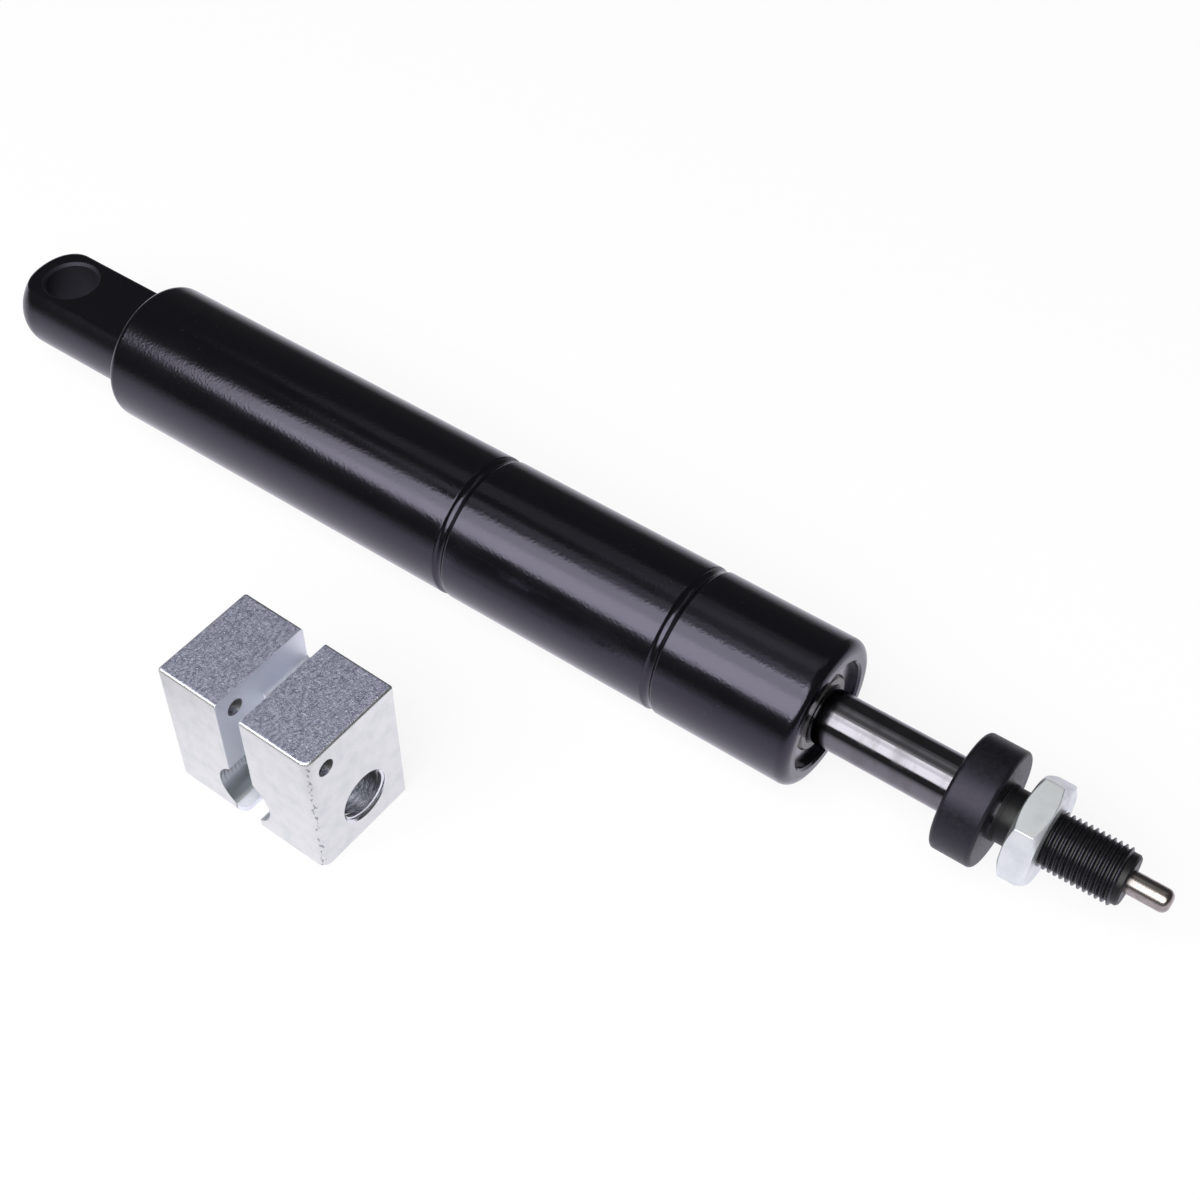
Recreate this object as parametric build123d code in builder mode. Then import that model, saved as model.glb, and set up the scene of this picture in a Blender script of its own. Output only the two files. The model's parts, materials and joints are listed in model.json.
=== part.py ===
from build123d import *
import math
import os

# Lockable gas spring with its release head taken off and stood beside it, in millimetres.
# The spring lies along X. The origin is the middle of the eye's bore, which runs along Z.
# The rod points along +X, and the tube rests on the floor at z = -tube_d / 2.

# Clearances
seat_gap = 0.02            # between pieces that are pressed or clamped together
running_gap = 0.05         # radial, where one piece slides or turns in another
side_gap = 0.05            # along the axis, between a ring and the walls of its groove
stop_gap = 0.3             # left between the piston and a stop at the end of its stroke
tiny = 0.001               # how closely two sizes must agree to be taken as the same

# Pressure tube
tube_d = 27.0
tube_wall = 1.5
tube_length = 151.4
eye_end_corner = 1.8       # outer rounding where the tube is rolled in round the eye
rod_end_corner = 2.0       # the same at the rod end
inner_corner = 1.0         # inside, at both ends
lip_width = 1.6            # the rolled lip's end face at the rod end, round the mouth
lip_edge = 0.4
bead_width = 1.9           # the groove that is rolled in from outside
bead_depth = 0.65
bead_edge = 0.35           # soft edge of the groove
bead_inner_width = 4.0     # the ridge it leaves inside
stroke = 20.0

# Fixed eye
shank_d = 19.0
eye_thickness = 13.0       # across the two flats
eye_bore_d = 10.0
eye_bore_chamfer = 0.5
eye_tip = 8.7              # from the bore's centre out to the end face
eye_corner = 5.75          # turned rounding of the end
eye_edge = 0.25
eye_to_tube = 21.8         # from the bore's centre to the tube's end
flat_short = 0.4           # the flats stop this far before the tube
plug_length = 12.6
plug_edge = 0.8
plug_groove_from_end = 4.6

# O-rings
plug_oring_cord = 1.8
groove_room = 0.6          # how much wider than its cord an O-ring's groove is
squeezed_corner = 0.29     # share of the cord that its free corners keep round
separator_oring_cord = 1.8
guide_oring_cord = 1.6
piston_oring_cord = 1.2
stem_oring_cord = 1.2
tappet_oring_cord = 1.2

# Separating piston, between the gas and the oil
separator_length = 14.0
separator_edge = 0.4
separator_oring_shares = (0.27, 0.73)   # along the length, gas side first
separator_dish_d = 12.0
separator_dish_depth = 5.0
separator_land_gap = 0.15

# Rod, collar, neck and threaded end
rod_d = 10.0
rod_out = 24.5             # bare rod between the tube and the collar
collar_d = 20.7
collar_width = 7.4
collar_edge = 0.8
land_length = 0.9
neck_depth = 0.2           # the neck is turned down this far below the rod
neck_length = 2.7
thread_pitch = 1.0         # a fine thread, cut on the rod's own diameter
thread_length = 18.5
thread_depth = 0.6134 * thread_pitch   # of an external metric thread
nut_thread_depth = 0.5413 * thread_pitch
thread_chamfer = 0.35
spigot_step = 1.0          # the rod's inner end, in the piston, is this much smaller all round
spigot_length = 6.0

# Jam nut
nut_flats = 17.0
nut_thickness = 5.0
nut_face_d = 16.4          # flat face inside the chamfer, on both sides
nut_from_neck = 0.05       # from the end of the neck, where the thread starts
nut_turn = 13.7            # one corner's angle, degrees from +Y towards +Z
nut_chamfer_angle = 30.0
nut_bore_chamfer = 0.4

# Release pin
pin_d = 4.0
pin_out = 6.9              # how far the tip stands out of the thread
pin_tip_round = 1.3
pin_inner_step = 4.0       # the pin's inner end, past the rod's spigot end

# Lockable piston
piston_length = 16.0
piston_land_gap = 0.2      # the piston body clears the tube and its ring seals
piston_edge = 0.5
chamber_d = 14.0
port_count = 4
port_d = 2.0
ring_from_face = 8.0       # from the piston's rod-side face to the ring's middle
ring_width = 3.2
ring_thickness = 2.0
ring_edge = 0.3
cap_flange_length = 3.5
cap_flange_step = 0.3      # the end cap is this much smaller all round than the piston body
cap_flow_gap = 0.7         # round the tappet's head, in the end cap
cap_seat_overlap = 2.0     # the cap's spigot reaches this far into the piston

# Valve
seat_recess_depth = 4.0
seat_wall = 1.0            # outside the ring channel
seat_boss_wall = 1.15      # between the ring channel and the tappet's bore
seat_bore_d = 6.1
seat_cone = 1.0
cross_hole_d = 1.6
cross_hole_from_face = 2.2
waist_d = 3.2
waist_from_face = 1.2
waist_land = 0.6           # guiding land between the O-ring and the waist
head_thickness = 1.2

# Guide and seal stack at the rod end
support_thickness = 2.4
seal_thickness = 6.0
seal_lip_depth = 2.6
seal_lip_thickness = 2.3
backup_thickness = 1.0
guide_length = 10.2
guide_groove_from_face = 3.0
cap_length = 4.0
wiper_d = 14.0
wiper_floor = 1.0          # thickness of the cap behind the wiper
wiper_lip = 0.5            # how far the wiper's lip stands out of the cap's face
wiper_edge = 0.4
stack_edge = 0.3

# Release head, a block that stands beside the spring
head_width = 32.0          # along the slot's walls' normal
head_depth = 20.0
head_height = 28.0
head_corner_x = 87.3       # nearest lower corner, from the eye's bore
head_corner_y = -64.1
head_turn = -1.43          # degrees
slot_width = 5.2
slot_from_side = 12.65
slot_deep_length = 9.8     # from the front, open through the bottom
slot_floor_depth = 7.2     # of the shallow rear part, from the top
slot_floor_round = 0.8
lever_bore_d = 11.0
lever_bore_side = 15.25    # centre, from the same side as the slot
lever_bore_height = 6.6
lever_bore_depth = 15.5
drill_angle = 118.0
drill_tip = 0.1            # the drill's point is this wide
rod_hole_back = 10.8       # centre of the threaded hole, from the front
rod_hole_height = 8.6
rod_hole_chamfer = 0.5
pivot_d = 3.2
pivot_back = 3.85
pivot_drop = 4.1
head_edge = 0.6            # upright and top edges
head_lower_edge = 0.4
head_round_corner = 1.7    # the front corner on the threaded hole's side

# Places along X that follow from the sizes above
tube_r = tube_d / 2
bore_r = tube_r - tube_wall
mouth_r = tube_r - rod_end_corner - lip_width
tube_start = eye_to_tube
tube_end = tube_start + tube_length
cap_face = tube_end - tube_wall - seat_gap
cap_start = cap_face - cap_length
guide_start = cap_start - seat_gap - guide_length
backup_start = guide_start - seat_gap - backup_thickness
seal_start = backup_start - seat_gap - seal_thickness
support_start = seal_start - seat_gap - support_thickness
outer_bead = support_start - seat_gap - bead_inner_width / 2
piston_face = outer_bead - bead_inner_width / 2 - stop_gap
piston_start = piston_face - piston_length
piston_cap_start = piston_start - cap_flange_length
inner_bead = piston_cap_start - stroke - stop_gap - bead_inner_width / 2
separator_face = inner_bead - bead_inner_width / 2 - stop_gap

rod_r = rod_d / 2
spigot_r = rod_r - spigot_step
collar_start = tube_end + rod_out
collar_end = collar_start + collar_width
neck_start = collar_end + land_length
thread_start = neck_start + neck_length
thread_end = thread_start + thread_length
thread_root_r = rod_r - thread_depth
nut_start = thread_start + nut_from_neck
spigot_end = piston_face - spigot_length
pin_start = spigot_end + pin_inner_step
pin_end = thread_end + pin_out
pin_bore_r = pin_d / 2 + running_gap

os.makedirs("parts", exist_ok=True)


# The ridge that a rolled bead leaves inside the tube, as the top point of its arc
def bead_points(place, width, radius, depth):
    return (place - width / 2, radius), (place, radius - depth), (place + width / 2, radius)


# Pressure tube: one turned profile, both ends rolled in and two beads
eye_lip_r = shank_d / 2 + running_gap
outer_points = [bead_points(place, bead_width, tube_r, bead_depth) for place in (inner_bead, outer_bead)]
inner_points = [
    bead_points(place, bead_inner_width, bore_r, bead_depth) for place in (inner_bead, outer_bead)
]
with BuildPart() as pressure_tube:
    with BuildSketch(Plane.XY):
        with BuildLine():
            Polyline((tube_start, eye_lip_r), (tube_start, tube_r - eye_end_corner))
            RadiusArc(
                (tube_start, tube_r - eye_end_corner),
                (tube_start + eye_end_corner, tube_r),
                eye_end_corner,
            )
            Line((tube_start + eye_end_corner, tube_r), outer_points[0][0])
            ThreePointArc(*outer_points[0])
            Line(outer_points[0][2], outer_points[1][0])
            ThreePointArc(*outer_points[1])
            Line(outer_points[1][2], (tube_end - rod_end_corner, tube_r))
            RadiusArc(
                (tube_end - rod_end_corner, tube_r),
                (tube_end, tube_r - rod_end_corner),
                rod_end_corner,
            )
            Polyline(
                (tube_end, tube_r - rod_end_corner),
                (tube_end, mouth_r),
                (tube_end - tube_wall, mouth_r),
                (tube_end - tube_wall, bore_r - inner_corner),
                (tube_end - tube_wall - inner_corner, bore_r),
                inner_points[1][2],
                inner_points[1][1],
                inner_points[1][0],
                inner_points[0][2],
                inner_points[0][1],
                inner_points[0][0],
                (tube_start + tube_wall + inner_corner, bore_r),
                (tube_start + tube_wall, bore_r - inner_corner),
                (tube_start + tube_wall, eye_lip_r),
                (tube_start, eye_lip_r),
            )
        make_face()
    revolve(axis=Axis.X)
    bead_rims = pressure_tube.edges().filter_by(GeomType.CIRCLE).filter_by(
        lambda edge: abs(edge.radius - tube_r) < tiny
    )
    fillet(bead_rims.sort_by(Axis.X)[1:5], bead_edge)
    lip_rims = pressure_tube.edges().filter_by(GeomType.CIRCLE).filter_by(
        lambda edge: abs(edge.arc_center.X - tube_end) < tiny
    )
    chamfer(lip_rims.sort_by(SortBy.RADIUS)[0], lip_edge)
pressure_tube.part.label = "pressure_tube"
export_step(pressure_tube.part, "parts/pressure_tube.step")


# Fixed eye: turned shank with two flats, and the plug that closes the tube
plug_start = tube_start + tube_wall + seat_gap
plug_end = plug_start + plug_length
plug_r = bore_r - running_gap
plug_oring_r = plug_r - plug_oring_cord
plug_oring_place = plug_end - plug_groove_from_end
shank_r = shank_d / 2
flat_end = tube_start - flat_short
with BuildPart() as end_eye:
    with BuildSketch(Plane.XY):
        with BuildLine():
            Line((-eye_tip, 0), (-eye_tip, shank_r - eye_corner))
            RadiusArc((-eye_tip, shank_r - eye_corner), (-eye_tip + eye_corner, shank_r), eye_corner)
            Line((-eye_tip + eye_corner, shank_r), (plug_start, shank_r))
            Polyline(
                (plug_start, shank_r),
                (plug_start, plug_r - inner_corner),
                (plug_start + inner_corner, plug_r),
                (plug_oring_place - plug_oring_cord / 2 - groove_room / 2, plug_r),
                (plug_oring_place - plug_oring_cord / 2 - groove_room / 2, plug_oring_r - seat_gap),
                (plug_oring_place + plug_oring_cord / 2 + groove_room / 2, plug_oring_r - seat_gap),
                (plug_oring_place + plug_oring_cord / 2 + groove_room / 2, plug_r),
                (plug_end - plug_edge, plug_r),
                (plug_end, plug_r - plug_edge),
                (plug_end, 0),
                (-eye_tip, 0),
            )
        make_face()
    revolve(axis=Axis.X)
    flat_length = flat_end + shank_d
    for side in (1, -1):
        with BuildSketch(Plane.XY.offset(side * eye_thickness / 2)):
            with Locations((flat_end - flat_length / 2, 0)):
                Rectangle(flat_length, 2 * shank_d)
        extrude(amount=side * shank_r, mode=Mode.SUBTRACT)
    flats = end_eye.faces().filter_by(Plane.XY).filter_by(lambda face: face.center().X < flat_end)
    chamfer(flats.edges().filter_by(lambda edge: edge.center().X < flat_end - eye_edge), eye_edge)
    with BuildSketch(Plane.XY):
        Circle(eye_bore_d / 2)
    extrude(amount=eye_thickness, both=True, mode=Mode.SUBTRACT)
    bore_edges = end_eye.edges().filter_by(GeomType.CIRCLE).filter_by(
        lambda edge: abs(edge.radius - eye_bore_d / 2) < tiny and abs(edge.arc_center.X) < tiny
    )
    chamfer(bore_edges, eye_bore_chamfer)
end_eye.part.label = "end_eye"
export_step(end_eye.part, "parts/end_eye.step")


# An O-ring as it sits squeezed: its middle along X, the floor of its groove, and its cord
def o_ring(place, floor_r, cord):
    side = cord - 2 * seat_gap
    with BuildPart() as ring:
        with BuildSketch(Plane.XY):
            with Locations((place, floor_r + cord / 2)):
                Rectangle(side, side)
            chamfer(vertices().sort_by(Axis.Y)[-2:], side * squeezed_corner)
        revolve(axis=Axis.X)
    return ring


# A plain turned ring or washer, its outer edges broken
def turned_ring(start, end, inner_r, outer_r, edge):
    with BuildPart() as ring:
        with BuildSketch(Plane.XY):
            with Locations(((start + end) / 2, (inner_r + outer_r) / 2)):
                Rectangle(end - start, outer_r - inner_r)
            chamfer(vertices().sort_by(Axis.Y)[-2:], edge)
        revolve(axis=Axis.X)
    return ring


# O-ring of the fixed eye's plug
end_plug_oring = o_ring(plug_oring_place, plug_oring_r, plug_oring_cord)
end_plug_oring.part.label = "end_plug_oring"
export_step(end_plug_oring.part, "parts/end_plug_oring.step")

# Separating piston: dished on the gas side, with two O-ring grooves
separator_r = bore_r - separator_land_gap
separator_start = separator_face - separator_length
separator_oring_r = bore_r - separator_oring_cord
separator_oring_places = [separator_start + separator_length * part for part in separator_oring_shares]
separator_groove = separator_oring_cord + groove_room
separator_groove_height = 2 * (separator_r - separator_oring_r + seat_gap)
with BuildPart() as separating_piston:
    with BuildSketch(Plane.XY):
        with Locations((separator_start + separator_length / 2, separator_r / 2)):
            Rectangle(separator_length, separator_r)
        with Locations((separator_start, 0)):
            Rectangle(2 * separator_dish_depth, separator_dish_d, mode=Mode.SUBTRACT)
        for place in separator_oring_places:
            with Locations((place, separator_r)):
                Rectangle(separator_groove, separator_groove_height, mode=Mode.SUBTRACT)
    revolve(axis=Axis.X)
    rims = separating_piston.edges().filter_by(GeomType.CIRCLE).sort_by(Axis.X)
    chamfer([rims[0], rims[-1]], separator_edge)
separating_piston.part.label = "separating_piston"
export_step(separating_piston.part, "parts/separating_piston.step")

for name, place in zip(("gas", "oil"), separator_oring_places):
    separator_oring = o_ring(place, separator_oring_r, separator_oring_cord)
    separator_oring.part.label = f"separator_oring_{name}"
    export_step(separator_oring.part, f"parts/separator_oring_{name}.step")

# Piston rod: hollow, with its spigot in the piston, a neck and the threaded end at its minor diameter
with BuildPart() as piston_rod:
    with BuildSketch(Plane.XY):
        with BuildLine():
            Polyline(
                (spigot_end, pin_bore_r),
                (spigot_end, spigot_r),
                (piston_face, spigot_r),
                (piston_face, rod_r),
                (neck_start, rod_r),
                (neck_start, rod_r - neck_depth),
                (thread_start, rod_r - neck_depth),
                (thread_start, thread_root_r),
                (thread_end - thread_chamfer, thread_root_r),
                (thread_end, thread_root_r - thread_chamfer),
                (thread_end, pin_bore_r),
                (spigot_end, pin_bore_r),
            )
        make_face()
        with Locations((spigot_end, 0)):
            Rectangle(
                2 * stem_oring_cord + groove_room, pin_d + 2 * stem_oring_cord, mode=Mode.SUBTRACT
            )
    revolve(axis=Axis.X)
piston_rod.part.label = "piston_rod"
export_step(piston_rod.part, "parts/piston_rod.step")

stem_oring = o_ring(spigot_end + stem_oring_cord / 2, pin_d / 2, stem_oring_cord)
stem_oring.part.label = "stem_oring"
export_step(stem_oring.part, "parts/stem_oring.step")

# Bump collar on the rod
with BuildPart() as bump_collar:
    with BuildSketch(Plane.XY):
        with Locations((collar_start + collar_width / 2, (rod_r + seat_gap + collar_d / 2) / 2)):
            Rectangle(collar_width, collar_d / 2 - rod_r - seat_gap)
        fillet(vertices().group_by(Axis.Y)[-1], collar_edge)
    revolve(axis=Axis.X)
bump_collar.part.label = "bump_collar"
export_step(bump_collar.part, "parts/bump_collar.step")

# Jam nut: a hexagon with both faces turned down at the corners
nut_r = nut_flats / 2 / math.cos(math.pi / 6)
nut_end = nut_start + nut_thickness
nut_bore_r = rod_r - nut_thread_depth
nut_slope = (nut_r - nut_face_d / 2) * math.tan(math.radians(nut_chamfer_angle))
nut_plane = Plane(origin=(nut_start, 0, 0), x_dir=(0, 1, 0), z_dir=(1, 0, 0))
with BuildPart() as jam_nut:
    with BuildSketch(nut_plane):
        RegularPolygon(nut_r, 6, rotation=nut_turn)
        Circle(nut_bore_r, mode=Mode.SUBTRACT)
    extrude(amount=nut_thickness)
    with BuildSketch(Plane.XY):
        with BuildLine():
            Polyline(
                (nut_start, 0),
                (nut_start, nut_face_d / 2),
                (nut_start + nut_slope, nut_r),
                (nut_end - nut_slope, nut_r),
                (nut_end, nut_face_d / 2),
                (nut_end, 0),
                (nut_start, 0),
            )
        make_face()
    revolve(axis=Axis.X, mode=Mode.INTERSECT)
    nut_bore_edges = jam_nut.edges().filter_by(GeomType.CIRCLE).filter_by(
        lambda edge: abs(edge.radius - nut_bore_r) < tiny
    )
    chamfer(nut_bore_edges, nut_bore_chamfer)
jam_nut.part.label = "jam_nut"
export_step(jam_nut.part, "parts/jam_nut.step")

# Release pin, round tipped, running through the whole rod
with BuildPart() as release_pin:
    with BuildSketch(Plane.XY):
        with Locations(((pin_start + pin_end) / 2, pin_d / 4)):
            Rectangle(pin_end - pin_start, pin_d / 2)
    revolve(axis=Axis.X)
    fillet(release_pin.edges().filter_by(GeomType.CIRCLE).sort_by(Axis.X)[-1], pin_tip_round)
release_pin.part.label = "release_pin"
export_step(release_pin.part, "parts/release_pin.step")

# Piston body: chamber for the valve, ports to the rod side and the groove of the sealing ring
piston_r = bore_r - piston_land_gap
chamber_r = chamber_d / 2
socket_r = spigot_r + seat_gap
ring_place = piston_face - ring_from_face
ring_r = bore_r - running_gap
ring_inner_r = ring_r - ring_thickness
piston_oring_r = ring_inner_r - piston_oring_cord
ring_groove_height = 2 * (piston_r - piston_oring_r + seat_gap)
with BuildPart() as piston_body:
    with BuildSketch(Plane.XY):
        with BuildLine():
            Polyline(
                (piston_start, chamber_r),
                (piston_start, piston_r - piston_edge),
                (piston_start + piston_edge, piston_r),
                (piston_face - piston_edge, piston_r),
                (piston_face, piston_r - piston_edge),
                (piston_face, socket_r),
                (spigot_end, socket_r),
                (spigot_end, chamber_r),
                (piston_start, chamber_r),
            )
        make_face()
        with Locations((ring_place, piston_r)):
            Rectangle(ring_width + 2 * side_gap, ring_groove_height, mode=Mode.SUBTRACT)
    revolve(axis=Axis.X)
    with BuildSketch(Plane(origin=(piston_face, 0, 0), x_dir=(0, 1, 0), z_dir=(1, 0, 0))):
        with PolarLocations((spigot_r + chamber_r) / 2, port_count):
            Circle(port_d / 2)
    extrude(amount=-piston_length, mode=Mode.SUBTRACT)
piston_body.part.label = "piston_body"
export_step(piston_body.part, "parts/piston_body.step")

# Sealing ring of the piston and the O-ring that backs it
piston_seal_ring = turned_ring(
    ring_place - ring_width / 2, ring_place + ring_width / 2, ring_inner_r, ring_r, ring_edge
)
piston_seal_ring.part.label = "piston_seal_ring"
export_step(piston_seal_ring.part, "parts/piston_seal_ring.step")

piston_oring = o_ring(ring_place, piston_oring_r, piston_oring_cord)
piston_oring.part.label = "piston_oring"
export_step(piston_oring.part, "parts/piston_oring.step")

# Valve seat: fills the chamber, with a ring channel, cross holes and a conical seat
seat_r = chamber_r - seat_gap
seat_end = spigot_end - seat_gap
seat_start = piston_start + cap_seat_overlap
seat_bore_r = seat_bore_d / 2
channel_outer_r = seat_r - seat_wall
channel_inner_r = seat_bore_r + seat_boss_wall
cross_hole_plane = Plane(origin=(seat_end - cross_hole_from_face, 0, 0), z_dir=(0, 1, 0))
with BuildPart() as valve_seat:
    with BuildSketch(Plane.XY):
        with BuildLine():
            Polyline(
                (seat_start, seat_bore_r + seat_cone),
                (seat_start, seat_r),
                (seat_end, seat_r),
                (seat_end, seat_bore_r),
                (seat_start + seat_cone, seat_bore_r),
                (seat_start, seat_bore_r + seat_cone),
            )
        make_face()
        with Locations((seat_end, (channel_outer_r + channel_inner_r) / 2)):
            Rectangle(2 * seat_recess_depth, channel_outer_r - channel_inner_r, mode=Mode.SUBTRACT)
    revolve(axis=Axis.X)
    for turn in (0, 90):
        with BuildSketch(cross_hole_plane.rotated((turn, 0, 0))):
            Circle(cross_hole_d / 2)
        extrude(amount=(channel_outer_r + channel_inner_r) / 2, both=True, mode=Mode.SUBTRACT)
valve_seat.part.label = "valve_seat"
export_step(valve_seat.part, "parts/valve_seat.step")

# Valve tappet: stem in the rod, waist at the cross holes, land with an O-ring, conical head
stem_r = pin_d / 2
tappet_end = pin_start - seat_gap
waist_start = seat_start + seat_cone + tappet_oring_cord + 2 * side_gap + waist_land
waist_end = seat_end - waist_from_face
tappet_oring_place = seat_start + seat_cone + tappet_oring_cord / 2 + side_gap
tappet_oring_r = seat_bore_r - tappet_oring_cord
land_r = seat_bore_r - running_gap
head_r = seat_bore_r + seat_cone - running_gap
with BuildPart() as valve_tappet:
    with BuildSketch(Plane.XY):
        with BuildLine():
            Polyline(
                (seat_start - head_thickness, 0),
                (seat_start - head_thickness, head_r),
                (seat_start - running_gap, head_r),
                (seat_start + seat_cone - running_gap, land_r),
                (tappet_oring_place - tappet_oring_cord / 2 - side_gap, land_r),
                (tappet_oring_place - tappet_oring_cord / 2 - side_gap, tappet_oring_r - seat_gap),
                (tappet_oring_place + tappet_oring_cord / 2 + side_gap, tappet_oring_r - seat_gap),
                (tappet_oring_place + tappet_oring_cord / 2 + side_gap, land_r),
                (waist_start, land_r),
                (waist_start, waist_d / 2),
                (waist_end, waist_d / 2),
                (waist_end, stem_r - seat_gap),
                (tappet_end, stem_r - seat_gap),
                (tappet_end, 0),
                (seat_start - head_thickness, 0),
            )
        make_face()
    revolve(axis=Axis.X)
valve_tappet.part.label = "valve_tappet"
export_step(valve_tappet.part, "parts/valve_tappet.step")

tappet_oring = o_ring(tappet_oring_place, tappet_oring_r, tappet_oring_cord)
tappet_oring.part.label = "tappet_oring"
export_step(tappet_oring.part, "parts/tappet_oring.step")

# Piston end cap: clamps the valve seat and leaves the tappet's head free
cap_flange_r = piston_r - cap_flange_step
cap_bore_r = head_r + cap_flow_gap
with BuildPart() as piston_end_cap:
    with BuildSketch(Plane.XY):
        with BuildLine():
            Polyline(
                (piston_cap_start, cap_bore_r),
                (piston_cap_start, cap_flange_r - piston_edge),
                (piston_cap_start + piston_edge, cap_flange_r),
                (piston_start - seat_gap, cap_flange_r),
                (piston_start - seat_gap, seat_r),
                (seat_start - seat_gap, seat_r),
                (seat_start - seat_gap, cap_bore_r),
                (piston_cap_start, cap_bore_r),
            )
        make_face()
    revolve(axis=Axis.X)
piston_end_cap.part.label = "piston_end_cap"
export_step(piston_end_cap.part, "parts/piston_end_cap.step")

# Seal stack at the rod end, from the bead outwards
stack_r = bore_r - running_gap
rod_bore_r = rod_r + running_gap
support_ring = turned_ring(support_start, support_start + support_thickness, rod_bore_r, stack_r, stack_edge)
support_ring.part.label = "support_ring"
export_step(support_ring.part, "parts/support_ring.step")

# Lip seal: a U section with its open side to the pressure
lip_place = (rod_bore_r + stack_r) / 2
lip_channel = stack_r - rod_bore_r - 2 * seal_lip_thickness
with BuildPart() as rod_lip_seal:
    with BuildSketch(Plane.XY):
        with Locations((seal_start + seal_thickness / 2, lip_place)):
            Rectangle(seal_thickness, stack_r - rod_bore_r)
        chamfer(vertices().sort_by(Axis.Y)[-2:], stack_edge)
        with Locations((seal_start, lip_place)):
            Rectangle(2 * seal_lip_depth, lip_channel, mode=Mode.SUBTRACT)
    revolve(axis=Axis.X)
rod_lip_seal.part.label = "rod_lip_seal"
export_step(rod_lip_seal.part, "parts/rod_lip_seal.step")

seal_backup_washer = turned_ring(
    backup_start, backup_start + backup_thickness, rod_bore_r, stack_r, stack_edge
)
seal_backup_washer.part.label = "seal_backup_washer"
export_step(seal_backup_washer.part, "parts/seal_backup_washer.step")

# Rod guide with its outer O-ring
guide_oring_r = bore_r - guide_oring_cord
guide_oring_place = guide_start + guide_groove_from_face
with BuildPart() as rod_guide:
    with BuildSketch(Plane.XY):
        with Locations((guide_start + guide_length / 2, (rod_bore_r + stack_r) / 2)):
            Rectangle(guide_length, stack_r - rod_bore_r)
        chamfer(vertices().sort_by(Axis.Y)[-2:], stack_edge)
        with Locations((guide_oring_place, stack_r)):
            Rectangle(
                guide_oring_cord + groove_room, 2 * (stack_r - guide_oring_r + seat_gap), mode=Mode.SUBTRACT
            )
    revolve(axis=Axis.X)
rod_guide.part.label = "rod_guide"
export_step(rod_guide.part, "parts/rod_guide.step")

guide_oring = o_ring(guide_oring_place, guide_oring_r, guide_oring_cord)
guide_oring.part.label = "guide_oring"
export_step(guide_oring.part, "parts/guide_oring.step")

# Guide cap: the bright washer in the tube's mouth, shouldered under the rolled lip
wiper_r = wiper_d / 2
wiper_start = cap_start + wiper_floor + seat_gap
with BuildPart() as guide_cap:
    with BuildSketch(Plane.XY):
        with BuildLine():
            Polyline(
                (cap_start, rod_bore_r),
                (cap_start, stack_r),
                (cap_face - inner_corner, stack_r),
                (cap_face, stack_r - inner_corner),
                (cap_face, wiper_r),
                (cap_start + wiper_floor, wiper_r),
                (cap_start + wiper_floor, rod_bore_r),
                (cap_start, rod_bore_r),
            )
        make_face()
    revolve(axis=Axis.X)
guide_cap.part.label = "guide_cap"
export_step(guide_cap.part, "parts/guide_cap.step")

# Rod wiper in the cap, its outer lip standing out of the cap's face
wiper_end = cap_face + wiper_lip
with BuildPart() as rod_wiper:
    with BuildSketch(Plane.XY):
        with Locations(((wiper_start + wiper_end) / 2, (rod_bore_r + wiper_r - seat_gap) / 2)):
            Rectangle(wiper_end - wiper_start, wiper_r - seat_gap - rod_bore_r)
        chamfer(vertices().sort_by(Axis.X)[-2:], wiper_edge)
    revolve(axis=Axis.X)
rod_wiper.part.label = "rod_wiper"
export_step(rod_wiper.part, "parts/rod_wiper.step")

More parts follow.
